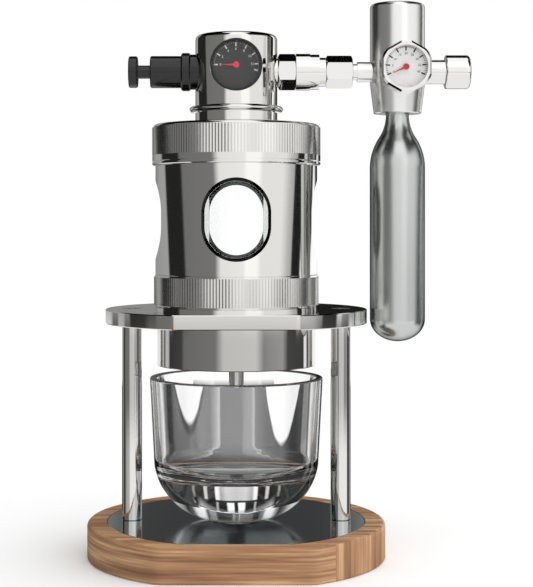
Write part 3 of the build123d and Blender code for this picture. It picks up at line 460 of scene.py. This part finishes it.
def tick_tree():
    """Marks in even steps along an arc of a dial, turned to face the front."""
    tree = bpy.data.node_groups.new("dial_marks", "GeometryNodeTree")
    sockets = {}
    for name, kind in (
        ("Marks", "NodeSocketInt"),
        ("First angle", "NodeSocketFloat"),
        ("Step", "NodeSocketFloat"),
        ("Radius", "NodeSocketFloat"),
        ("Mark size", "NodeSocketVector"),
        ("Dial centre", "NodeSocketVector"),
        ("Ink", "NodeSocketMaterial"),
    ):
        sockets[name] = tree.interface.new_socket(name, in_out="INPUT", socket_type=kind).identifier
    tree.interface.new_socket("Geometry", in_out="OUTPUT", socket_type="NodeSocketGeometry")
    given = add_node(tree, "NodeGroupInput")
    index = add_node(tree, "GeometryNodeInputIndex")[0]
    angle = add_node(
        tree,
        "ShaderNodeMath",
        {0: index, 1: given["Step"], 2: given["First angle"]},
        operation="MULTIPLY_ADD",
    )[0]
    across = add_node(tree, "ShaderNodeMath", {0: angle}, operation="COSINE")[0]
    up = add_node(tree, "ShaderNodeMath", {0: angle}, operation="SINE")[0]
    direction = add_node(tree, "ShaderNodeCombineXYZ", {"X": across, "Y": up})[0]
    place = add_node(
        tree,
        "ShaderNodeVectorMath",
        {0: direction, "Scale": given["Radius"]},
        operation="SCALE",
    )[0]
    points = add_node(tree, "GeometryNodePoints", {"Count": given["Marks"], "Position": place})[0]
    mark = add_node(tree, "GeometryNodeMeshCube", {"Size": given["Mark size"]})["Mesh"]
    turn = add_node(tree, "ShaderNodeCombineXYZ", {"Z": angle})[0]
    marks = add_node(
        tree,
        "GeometryNodeInstanceOnPoints",
        {"Points": points, "Instance": mark, "Rotation": turn},
    )[0]
    upright = add_node(
        tree,
        "GeometryNodeTransform",
        {"Geometry": marks, "Translation": given["Dial centre"], "Rotation": (pi / 2, 0, 0)},
    )[0]
    solid = add_node(tree, "GeometryNodeRealizeInstances", {"Geometry": upright})[0]
    inked = add_node(tree, "GeometryNodeSetMaterial", {"Geometry": solid, "Material": given["Ink"]})[0]
    add_node(tree, "NodeGroupOutput", {"Geometry": inked})
    return tree, sockets


def keep_piece(name, mesh, body):
    """A finished piece at the origin that rides on a body."""
    piece = bpy.data.objects.new(name, mesh)
    bpy.context.scene.collection.objects.link(piece)
    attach(piece, body)
    return piece


def plain_mesh(carrier):
    """The evaluated mesh of a carrier object, which is then removed."""
    graph = bpy.context.evaluated_depsgraph_get()
    graph.update()
    mesh = bpy.data.meshes.new_from_object(carrier.evaluated_get(graph))
    bpy.data.objects.remove(carrier)
    return mesh


def finished_mesh(name, shape, finish, sharp=None):
    """A mesh of a built shape; where sharp is given, edges that turn by fewer degrees look rounded."""
    mesh = bpy.data.meshes.new(name)
    shape.to_mesh(mesh)
    shape.free()
    mesh.materials.append(finish)
    if sharp:
        for face in mesh.polygons:
            face.use_smooth = True
        mesh.set_sharp_from_angle(angle=radians(sharp))
    return mesh


marks_tree, mark_inputs = tick_tree()


def dial_marks(name, centre, ink, slot, count, first, step, radius_mm, size_mm):
    """One set of even marks on a dial; angles in degrees, anticlockwise from the right."""
    carrier = bpy.data.objects.new(name + "_carrier", bpy.data.meshes.new(name))
    bpy.context.scene.collection.objects.link(carrier)
    modifier = carrier.modifiers.new("marks", "NODES")
    modifier.node_group = marks_tree
    given = {
        "Marks": count,
        "First angle": radians(first),
        "Step": radians(step),
        "Radius": radius_mm * MM,
        "Mark size": [size_mm[0] * MM, size_mm[1] * MM, 2 * INK],
        "Dial centre": centre,
        "Ink": ink,
    }
    for socket, value in given.items():
        modifier[mark_inputs[socket]] = value
    keep_piece(name, plain_mesh(carrier), "head")


def dial_numbers(name, centre, ink, slot, numbers, radius_mm, height_mm):
    """Upright printed numbers round a dial, as one mesh; numbers are (angle, text) pairs."""
    whole = bmesh.new()
    for angle, words in numbers:
        text = bpy.data.curves.new(name, "FONT")
        text.body = words
        text.size = height_mm * MM
        text.extrude = INK
        text.align_x = "CENTER"
        text.align_y = "CENTER"
        text.resolution_u = 3
        carrier = bpy.data.objects.new(name + "_carrier", text)
        bpy.context.scene.collection.objects.link(carrier)
        mesh = plain_mesh(carrier)
        turn = radians(angle)
        offset = Vector((cos(turn), 0, sin(turn))) * radius_mm * MM
        mesh.transform(Matrix.Translation(Vector(centre) + offset) @ Matrix.Rotation(pi / 2, 4, "X"))
        whole.from_mesh(mesh)
        bpy.data.meshes.remove(mesh)
    bmesh.ops.remove_doubles(whole, verts=whole.verts, dist=MERGE)
    keep_piece(name, finished_mesh(name, whole, ink), "head")


def dial_centre(node):
    """The middle of a dial sheet's front face."""
    low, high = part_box(node)
    return (low.x + high.x) / 2, low.y, (low.z + high.z) / 2


# What the print on a dial shares: its centre, ink and slot
brew_print = (dial_centre("gauge_dial"), white_ink, "dial_white")
dial_marks(
    "brew_dial_marks",
    *brew_print,
    count=BREW_MARKS,
    first=BREW_FIRST,
    step=BREW_STEP,
    radius_mm=8.0,
    size_mm=(1.6, 0.55),
)
dial_marks(
    "brew_dial_end_mark",
    *brew_print,
    count=1,
    first=BREW_END,
    step=0,
    radius_mm=8.0,
    size_mm=(1.6, 0.55),
)
dial_marks(
    "brew_dial_fine_marks",
    *brew_print,
    count=BREW_FINE_MARKS,
    first=BREW_FIRST,
    step=BREW_STEP / FINE_STEPS,
    radius_mm=8.6,
    size_mm=(0.35, 0.12),
)
dial_numbers(
    "brew_dial_numbers",
    *brew_print,
    numbers=[(BREW_FIRST + BREW_STEP * i, str(2 * i)) for i in range(BREW_MARKS)],
    radius_mm=6.2,
    height_mm=1.4,
)

line_print = (dial_centre("dial_gauge_dial"), black_ink, "gauge_black")
dial_marks(
    "line_dial_marks",
    *line_print,
    count=LINE_MARKS,
    first=LINE_FIRST,
    step=LINE_STEP,
    radius_mm=7.15,
    size_mm=(1.8, 0.56),
)
dial_marks(
    "line_dial_fine_marks",
    *line_print,
    count=FINE_STEPS * (LINE_MARKS - 1) + 1,
    first=LINE_FIRST,
    step=LINE_STEP / FINE_STEPS,
    radius_mm=7.65,
    size_mm=(0.75, 0.16),
)
dial_marks(
    "line_dial_red_arc",
    line_print[0],
    red_ink,
    "needle_red",
    count=ARC_MARKS,
    first=ARC_FIRST,
    step=ARC_STEP,
    radius_mm=7.8,
    size_mm=(0.3, 0.15),
)
dial_numbers(
    "line_dial_numbers",
    *line_print,
    numbers=[(LINE_FIRST + LINE_STEP * i, str(5 * i)) for i in range(LINE_MARKS)],
    radius_mm=5.2,
    height_mm=1.3,
)

# Gas cartridge: its shoulder is drawn in over a longer way than the plain solid's, in millimetres
SHOULDER_DROP = 0.5
SHOULDER_HEIGHT = 21.2
NECK_RADIUS = 4.6
NECK_BORE = 2.0
SHELL_WALL = 1.4
DOME_HEIGHT = 9.0
# The share of the shoulder's height that bulges; the rest is hollow
SHOULDER_BULGE = 0.575
OUTLINE_STEPS = 16
ROUND_STEPS = 128
# Edges that turn by more than this, in degrees, stay sharp
SHELL_SHARP = 10


def arc(centre, reach, first, last):
    """Points (radius, height) along a round or oval arc; angles from the level, outwards."""
    turns = [first + (last - first) * i / OUTLINE_STEPS for i in range(OUTLINE_STEPS + 1)]
    return [(centre[0] + reach[0] * cos(turn), centre[1] + reach[1] * sin(turn)) for turn in turns]


def bottle_outline(radius, neck, dome, bottom, shoulder_top, top):
    """Half outline of a bottle: domed foot, straight wall, bulging shoulder, hollow neck and lip."""
    foot = arc((0, bottom + dome), (radius, dome), -pi / 2, 0)
    height = SHOULDER_HEIGHT * MM
    turn = 2 * atan2(radius - neck, height)
    bulge = SHOULDER_BULGE * height / sin(turn)
    hollow = (1 - SHOULDER_BULGE) * height / sin(turn)
    shoulder = arc((radius - bulge, shoulder_top - height), (bulge, bulge), 0, turn)
    throat = arc((neck + hollow, shoulder_top), (hollow, hollow), pi + turn, pi)
    return foot + shoulder + throat[1:] + [(neck, top)]


def drawn_cartridge():
    """The hollow steel bottle, turned about its own axis, in the place of the plain solid."""
    low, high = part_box("gas_cartridge")
    axis = (low.x + high.x) / 2
    radius = (high.x - low.x) / 2
    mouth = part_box("regulator_body")[0].z
    wall = SHELL_WALL * MM
    shoulder_top = mouth - SHOULDER_DROP * MM
    dome = DOME_HEIGHT * MM
    outside = bottle_outline(radius, NECK_RADIUS * MM, dome, low.z, shoulder_top, high.z)
    inside = bottle_outline(radius - wall, NECK_BORE * MM, dome - wall, low.z + wall, shoulder_top, high.z)
    shell = bmesh.new()
    corners = [shell.verts.new((axis + reach, 0, height)) for reach, height in outside + inside[::-1]]
    lines = [shell.edges.new(pair) for pair in zip(corners, corners[1:])]
    bmesh.ops.spin(
        shell,
        geom=corners + lines,
        cent=(axis, 0, 0),
        axis=(0, 0, 1),
        angle=2 * pi,
        steps=ROUND_STEPS,
    )
    bmesh.ops.remove_doubles(shell, verts=shell.verts, dist=MERGE)
    bmesh.ops.recalc_face_normals(shell, faces=shell.faces)
    mesh = finished_mesh("drawn_cartridge", shell, zinc_plated_shell(), SHELL_SHARP)
    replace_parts(keep_piece("drawn_cartridge", mesh, "cartridge"), "gas_cartridge")


drawn_cartridge()

# Relief valve: the sharp edges of its spring, in degrees
SPRING_SHARP = 40


def squeezed_spring():
    """The relief valve's spring as one smooth mesh, with its points merged, in the place of the imported
    spring.
    """
    coil = bmesh.new()
    coil.from_mesh(nodes["relief_spring"].data)
    bmesh.ops.remove_doubles(coil, verts=coil.verts, dist=MERGE)
    mesh = finished_mesh("squeezed_relief_spring", coil, finishes["spring_steel"], SPRING_SHARP)
    spring = keep_piece("squeezed_relief_spring", mesh, "head")
    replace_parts(spring, "relief_spring")
    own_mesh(spring)


squeezed_spring()

# Studio: a white surround, with dark and light screens that only reflections and bent light see.
# Brightness of its plain surfaces
WHITE = 1.1
SHEET = 1.0
PAPER = 0.95
DARK = 0.03
BLACK = 0.02

# Each list goes round the object: (degrees from the front, towards +X, and brightness)
ROUND = (-180, 180)
SCREENS = [
    (-180, 0.3), (-150, 0.36), (-116, 0.42), (-113, 0.02), (-81, 0.02), (-77.5, 0.19), (-31, 0.21),
    (-23, 0.95), (10, 1.02), (14, 1.2), (30, 1.2), (36, 0.95), (66, 0.95), (80, 0.55), (85.5, 0.5),
    (87, 0.015), (104.5, 0.015), (106.5, 1.25), (111.5, 1.25), (114, 0.5), (124, 0.32), (126, 0.04),
    (132, 0.04), (134.5, 1.2), (165, 1.2), (180, 0.6),
]
LOW_SCREENS = [
    (-180, 0.9), (-145, 0.9), (-140, 0.6), (-136, 0.03), (-126, 0.03), (-123, 0.6), (-115, 0.5),
    (-112, 0.04), (-86, 0.06), (-80, 0.17), (-30, 0.2), (-18, 0.62), (28, 0.66), (40, 0.26), (48, 0.3),
    (70, 0.36), (79, 0.07), (113, 0.05), (116.5, 1.0), (120, 1.0), (124, 0.04), (139, 0.04), (143, 1.0),
    (180, 1.0),
]
# Front: how much of a white sheet shows low down
FRONT_SHEET = [
    (-180, 0.0), (-72, 0.0), (-60, 0.35), (-26, 0.4), (-14, 1.0), (68, 1.0), (80, 0.0), (180, 0.0),
]
# Roof: a white strip at the front alone
ROOF = [(-180, 0.015), (-27, 0.015), (-21, 1.25), (37, 1.25), (43, 0.015), (180, 0.015)]
# The screens lean outwards with height: their turn shrinks by this share at this upward part of a direction
LEAN = 0.17
LEAN_REACH = 0.12

# Behind the glass: a dark striped card, by the place across the glass from left to right.
# The walls spread the view, so that place is a direction's sideways part over its length with this reach
ACROSS = (-1, 1)
CARD_REACH = 0.111
CARD = [
    (-1, 1.0), (-0.985, 1.0), (-0.975, 0.03), (-0.965, 0.03), (-0.955, 1.0), (-0.93, 1.0), (-0.915, 0.28),
    (-0.875, 0.02), (-0.83, 0.03), (-0.79, 0.17), (-0.48, 0.2), (-0.45, 0.22), (-0.33, 0.2), (-0.25, 0.45),
    (-0.22, 0.6), (-0.195, 0.16), (0.06, 0.16), (0.1, 0.27), (0.19, 0.33), (0.22, 0.55), (0.245, 0.2),
    (0.41, 0.08), (0.75, 0.04), (0.84, 0.05), (0.86, 0.33), (0.905, 0.3), (0.925, 0.02), (0.935, 1.0),
    (0.96, 1.0), (0.97, 0.03), (0.98, 0.03), (0.988, 1.0),
]
# Panels with rounded feet on that card: place across, upward part at the foot, and brightness
PANELS = [(-0.6, -0.1445, 0.08), (-0.6, -0.137, WHITE), (0.585, -0.151, WHITE)]
PANEL_CURVE = 0.79
PANEL_BLUR = 0.004
# Behind and higher up, as the glass foot bends it into view: brightness by the part to either side,
# for a pale bowl shape with bright edges, and for small lights above it
FOOT_BOWL = [
    (0, 0.62), (0.08, 0.7), (0.13, 0.42), (0.15, 1.0), (0.17, 1.0), (0.18, 0.02), (0.24, 0.02),
    (0.255, 0.7), (0.27, 0.7), (0.285, 0.02), (0.36, 0.03), (0.38, 0.4), (0.4, 0.03), (1, 0.05),
]
FOOT_LIGHTS = [
    (0, 0.02), (0.012, 0.02), (0.02, 1.1), (0.07, 1.1), (0.085, 0.02), (0.15, 0.02), (0.165, 0.6),
    (0.18, 0.02), (1, 0.04),
]

# Brightness of the cards that the upper plate and the inlay plate mirror, and of the soft light
PLATE_LEFT = 0.27
PLATE_RIGHT = 0.012
INLAY_MIDDLE = 0.06
INLAY_SIDES = 0.3
SOFT_LEFT = 0.12
SOFT_RIGHT = 1.54

# Edges in the studio: the upward part of a direction over which one surface passes into another
LOW_FROM = (-0.05, -0.075)
SHEET_FROM = (-0.12, -0.15)
CARD_TOP = (-0.104, -0.109)
PAPER_FROM = (-0.3, -0.5)
PLATE_CARDS_FROM = (-0.02, 0.0)
INLAY_CARD_FROM = (0.09, 0.12)
BOWL_TOP = (0.31, 0.32)
FOOT_LIGHTS_FROM = (0.335, 0.345)
ROOF_FROM = (0.42, 0.55)
ZENITH_FROM = (0.93, 0.96)
# The same by the part towards the back
FRONT_FROM = (-0.2, -0.4)
ROOF_BACK = (-0.14, -0.24)
VIEW_BEHIND = (0.3, 0.6)
CARD_BEHIND = (0.5, 0.7)
PLATE_CARDS_BEHIND = (0.8, 0.9)
# The same by the part towards +X, and by the part to either side
PLATE_SPLIT = (-0.02, 0.03)
SOFT_SPLIT = (-0.8, 0.8)
VIEW_SIDES = (0.36, 0.32)
INLAY_SPLIT = (0.066, 0.09)
# Light that crossed the sight tube's walls this often has come back from the barrel's far wall
CROSSINGS = (5, 6)

# Paper floor, in metres: its radius, and the distances from the object over which it brightens
FLOOR_RADIUS = 0.9
FLOOR_FADE = (0.10, 0.34)
FLOOR_SIDES = 96


def stripes(tree, part, limits, stops):
    """Brightness along a part of a direction within its limits, through (part, brightness) stops."""
    low, high = limits
    share = add_node(tree, "ShaderNodeMapRange", {"Value": part, "From Min": low, "From Max": high})[0]
    tones = [((place - low) / (high - low), (light, light, light, 1)) for place, light in stops]
    return add_node(tree, "ShaderNodeValToRGB", {"Fac": share}, tones)[0]


def rounded_panel(tree, across, up, centre, foot, light, card):
    """A card's brightness with one more panel on it, which has a rounded foot."""
    aside = add_node(tree, "ShaderNodeMath", {0: across, 1: centre}, operation="SUBTRACT")[0]
    square = add_node(tree, "ShaderNodeMath", {0: aside, 1: aside}, operation="MULTIPLY")[0]
    edge = add_node(
        tree,
        "ShaderNodeMath",
        {0: square, 1: PANEL_CURVE, 2: foot},
        operation="MULTIPLY_ADD",
    )[0]
    above = add_node(tree, "ShaderNodeMath", {0: up, 1: edge}, operation="SUBTRACT")[0]
    return where(tree, above, (0, PANEL_BLUR), light, card)


def glass_card(tree, east, up):
    """Brightness of the striped card with its panels, as the glass spreads it."""
    square = add_node(
        tree,
        "ShaderNodeMath",
        {0: east, 1: east, 2: CARD_REACH ** 2},
        operation="MULTIPLY_ADD",
    )[0]
    reach = add_node(tree, "ShaderNodeMath", {0: square}, operation="SQRT")[0]
    across = add_node(tree, "ShaderNodeMath", {0: east, 1: reach}, operation="DIVIDE")[0]
    card = stripes(tree, across, ACROSS, CARD)
    for centre, foot, light in PANELS:
        card = rounded_panel(tree, across, up, centre, foot, light, card)
    return card


def upright_screens(tree, azimuth, up):
    """Brightness of the screens round the object, the low ones and the white sheet at the front."""
    lean = where(tree, up, (-LEAN_REACH, LEAN_REACH), 1 - LEAN, 1 + LEAN)
    leaned = add_node(tree, "ShaderNodeMath", {0: azimuth, 1: lean}, operation="MULTIPLY")[0]
    high = stripes(tree, leaned, ROUND, SCREENS)
    walls = where(tree, up, LOW_FROM, stripes(tree, azimuth, ROUND, LOW_SCREENS), high)
    sheet = where(tree, stripes(tree, azimuth, ROUND, FRONT_SHEET), WHOLE, SHEET, walls)
    return where(tree, up, SHEET_FROM, sheet, walls)


def studio_world():
    """White to the eye; reflections and bent light find upright screens, cards and a dark roof."""
    world = bpy.data.worlds.new("white_studio")
    bpy.context.scene.world = world
    world.use_nodes = True
    tree = world.node_tree
    place = add_node(tree, "ShaderNodeTexCoord")
    east, north, up = add_node(tree, "ShaderNodeSeparateXYZ", {0: place["Generated"]})
    ahead = add_node(tree, "ShaderNodeMath", {0: north, 1: -1.0}, operation="MULTIPLY")[0]
    turn = add_node(tree, "ShaderNodeMath", {0: east, 1: ahead}, operation="ARCTAN2")[0]
    azimuth = add_node(tree, "ShaderNodeMath", {0: turn}, operation="DEGREES")[0]
    aside = add_node(tree, "ShaderNodeMath", {0: east}, operation="ABSOLUTE")[0]
    path = add_node(tree, "ShaderNodeLightPath")
    through = path["Is Transmission Ray"]
    walls = upright_screens(tree, azimuth, up)

    # White behind, between dark sides, for what is seen through the barrel's windows
    view = where(tree, aside, VIEW_SIDES, WHITE, DARK)
    walls = where(tree, through, WHOLE, where(tree, north, VIEW_BEHIND, view, walls), walls)

    # White at the front for what has crossed the sight tube and come back from the barrel's far wall
    returned = where(tree, north, FRONT_FROM, WHITE, walls)
    walls = where(tree, path["Transmission Depth"], CROSSINGS, returned, walls)

    # Dark behind and low down, for reflections; the glass sees the card and the panels there
    low_card = where(tree, through, WHOLE, glass_card(tree, east, up), DARK)
    walls = where(tree, up, CARD_TOP, where(tree, north, CARD_BEHIND, low_card, walls), walls)
    walls = where(tree, up, PAPER_FROM, where(tree, through, WHOLE, DARK, PAPER), walls)

    # Cards behind for the two level plates; the glass foot sees a bowl and small lights there
    plate_card = where(tree, east, PLATE_SPLIT, PLATE_RIGHT, PLATE_LEFT)
    plate_card = where(tree, through, WHOLE, view, plate_card)
    foot = where(tree, up, FOOT_LIGHTS_FROM, stripes(tree, aside, WHOLE, FOOT_LIGHTS), BLACK)
    foot = where(tree, up, BOWL_TOP, foot, stripes(tree, aside, WHOLE, FOOT_BOWL))
    inlay_card = where(tree, aside, INLAY_SPLIT, INLAY_SIDES, INLAY_MIDDLE)
    inlay_card = where(tree, through, WHOLE, foot, inlay_card)
    cards = where(tree, up, INLAY_CARD_FROM, inlay_card, plate_card)
    cards = where(tree, up, PLATE_CARDS_FROM, cards, walls)
    walls = where(tree, north, PLATE_CARDS_BEHIND, cards, walls)

    # A dark roof with a white strip at the front and a light straight above
    roof = where(tree, north, ROOF_BACK, stripes(tree, azimuth, ROUND, ROOF), 0.0)
    surround = where(tree, up, ROOF_FROM, roof, walls)
    surround = where(tree, up, ZENITH_FROM, WHITE, surround)

    # The eye sees white, dull surfaces take the soft light, and the rest find the surround
    soft = where(tree, east, SOFT_SPLIT, SOFT_RIGHT, SOFT_LEFT)
    plain = where(tree, path["Is Camera Ray"], WHOLE, 1.0, soft)
    plain = where(tree, through, WHOLE, surround, plain)
    seen = where(tree, path["Is Glossy Ray"], WHOLE, surround, plain)
    tree.links.new(seen, tree.nodes["Background"].inputs["Color"])


def studio_floor():
    """Matt white paper that brightens into the surround away from the object."""
    material, tree = new_material("matt_white_paper", Base_Color=linear("#F4F4F4"), Roughness=0.9)[:2]
    place = add_node(tree, "ShaderNodeTexCoord")["Object"]
    reach = add_node(tree, "ShaderNodeVectorMath", {0: place}, operation="LENGTH")["Value"]
    fade = add_node(
        tree,
        "ShaderNodeMapRange",
        {"Value": reach, "From Min": FLOOR_FADE[0], "From Max": FLOOR_FADE[1]},
        interpolation_type="SMOOTHSTEP",
    )[0]
    paper = tree.nodes["Principled BSDF"].outputs[0]
    glow = add_node(tree, "ShaderNodeEmission")[0]
    mixed = add_node(tree, "ShaderNodeMixShader", {0: fade, 1: paper, 2: glow})[0]
    tree.links.new(mixed, tree.nodes["Material Output"].inputs["Surface"])
    disc = bmesh.new()
    bmesh.ops.create_circle(disc, cap_ends=True, segments=FLOOR_SIDES, radius=FLOOR_RADIUS)
    floor = bpy.data.objects.new("studio_floor", finished_mesh("studio_floor", disc, material))
    bpy.context.scene.collection.objects.link(floor)
    floor.visible_glossy = False
    floor.visible_transmission = False


def soft_light(name, place, aim, size, power):
    """A square soft light that points at a place; sizes in metres, power in watts."""
    lamp = bpy.data.lights.new(name, "AREA")
    lamp.size = size
    lamp.energy = power
    light = bpy.data.objects.new(name, lamp)
    light.location = place
    light.rotation_euler = (Vector(aim) - Vector(place)).to_track_quat("-Z", "Y").to_euler()
    light.visible_glossy = False
    light.visible_transmission = False
    bpy.context.scene.collection.objects.link(light)


def photo_camera():
    """A level camera on the photograph's horizon, straight before the brew axis."""
    lens = bpy.data.cameras.new("photo_camera")
    lens.sensor_width = SENSOR_MM
    lens.lens = FOCAL_PIXELS * SENSOR_MM / PHOTO_HEIGHT
    lens.shift_x = (PHOTO_WIDTH / 2 - AXIS_COLUMN) / PHOTO_HEIGHT
    lens.shift_y = (HORIZON_ROW - PHOTO_HEIGHT / 2) / PHOTO_HEIGHT
    camera = bpy.data.objects.new("photo_camera", lens)
    camera.location = (
        0,
        -FOCAL_PIXELS * MM_PER_PIXEL * MM,
        (BASE_ROW - HORIZON_ROW) * MM_PER_PIXEL * MM,
    )
    camera.rotation_euler = (pi / 2, 0, 0)
    bpy.context.scene.collection.objects.link(camera)
    bpy.context.scene.camera = camera


studio_world()
studio_floor()
soft_light("overhead_softbox", place=(0, -0.1, 0.9), aim=(0, 0, 0.1), size=0.7, power=4)
photo_camera()
bpy.context.scene.view_settings.view_transform = "Standard"
